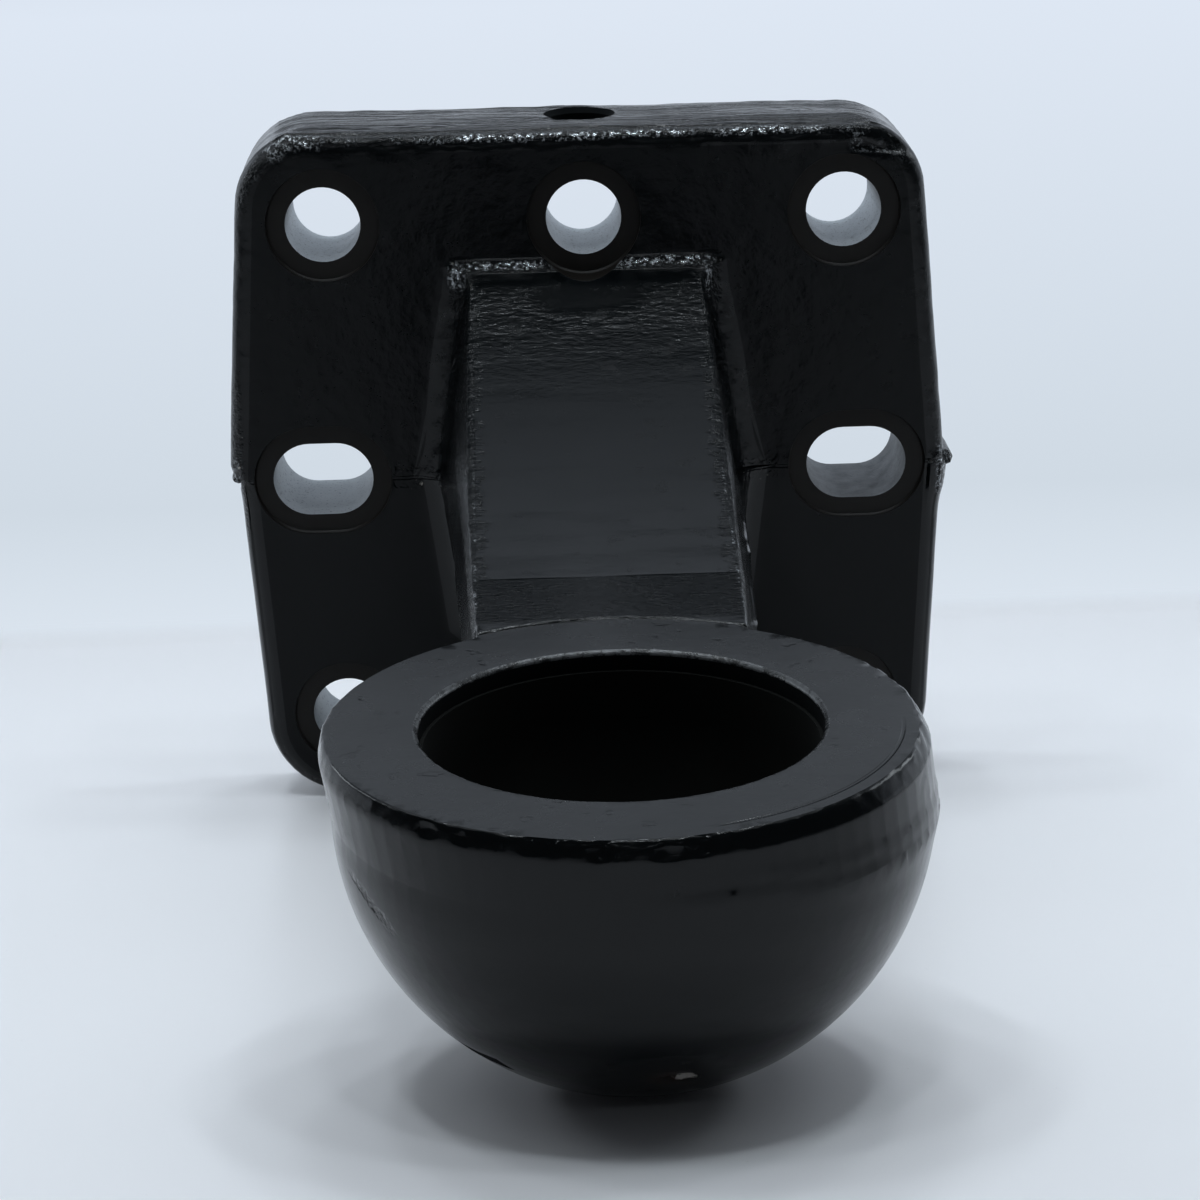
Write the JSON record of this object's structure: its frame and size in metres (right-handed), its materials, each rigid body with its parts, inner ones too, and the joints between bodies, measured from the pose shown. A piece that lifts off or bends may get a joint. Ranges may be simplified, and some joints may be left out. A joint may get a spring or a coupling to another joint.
{
  "type": "tractor ball hitch coupling",
  "caption": "Forged black ball-hitch cup on a short tapered neck with a bolt-on mounting flange, for the coupling end of a farm drawbar.",
  "frame": {"origin": "centre of the 80 mm ball when it sits in the cup", "axes": "+Z out of the cup's mouth, +Y along the neck to the flange's mounting face, +X to the right; the part is drawn mouth up as pictured, and it is used mouth down"},
  "size_m": [0.207, 0.3518, 0.1974],
  "materials": {
    "forging": "gloss",
    "liner": "matte",
    "nipple": "satin",
    "spring_steel": "satin"
  },
  "bodies": {
    "root": {"forged_body": "forging", "seat_liner": "liner", "grease_nipple": "nipple", "nipple_ball": "spring_steel", "nipple_spring": "spring_steel"}
  },
  "joints": []
}
